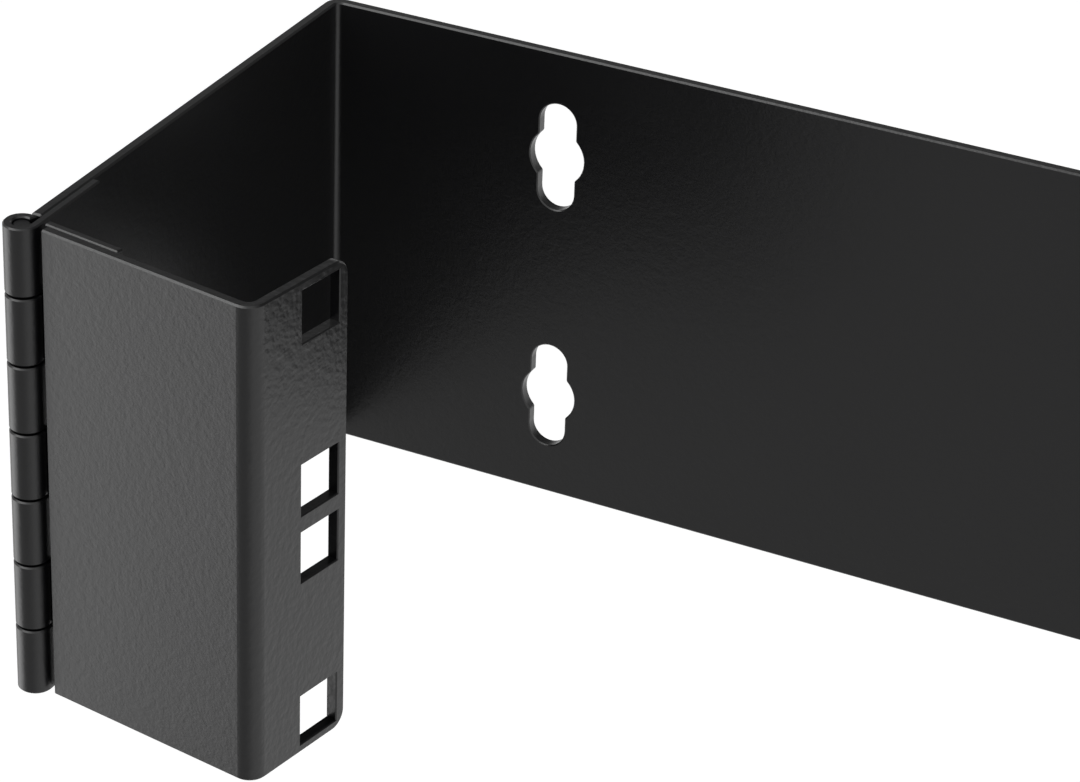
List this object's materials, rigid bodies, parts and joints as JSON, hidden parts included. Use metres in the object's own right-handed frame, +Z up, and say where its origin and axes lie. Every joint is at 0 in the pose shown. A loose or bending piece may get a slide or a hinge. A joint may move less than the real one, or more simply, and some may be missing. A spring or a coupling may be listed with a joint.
{
  "type": "wall mount open frame rack",
  "caption": "Shallow open wall rack of folded black steel with keyholes for wall screws, square rack holes, and a rail on a piano hinge that swings the equipment out.",
  "frame": {"origin": "centre of the wall face, at half height", "axes": "+X right along the wall plate, +Y into the wall, +Z up; the hinge is on the left when seen from the front"},
  "size_m": [0.5028, 0.1524, 0.0888],
  "materials": {
    "black_powder_coat": "satin"
  },
  "bodies": {
    "frame": {"wall_frame": "black_powder_coat", "fixed_hinge_leaf": "black_powder_coat", "hinge_pin": "black_powder_coat"},
    "rail": {"hinged_rail": "black_powder_coat", "moving_hinge_leaf": "black_powder_coat"}
  },
  "joints": [
    {"name": "rail_hinge", "type": "hinge", "parent": "frame", "child": "rail", "pos_m": [-0.24964, -0.1041, 0], "axis": [0, 0, 1], "range_deg": [-245.5, 9.3]}
  ]
}
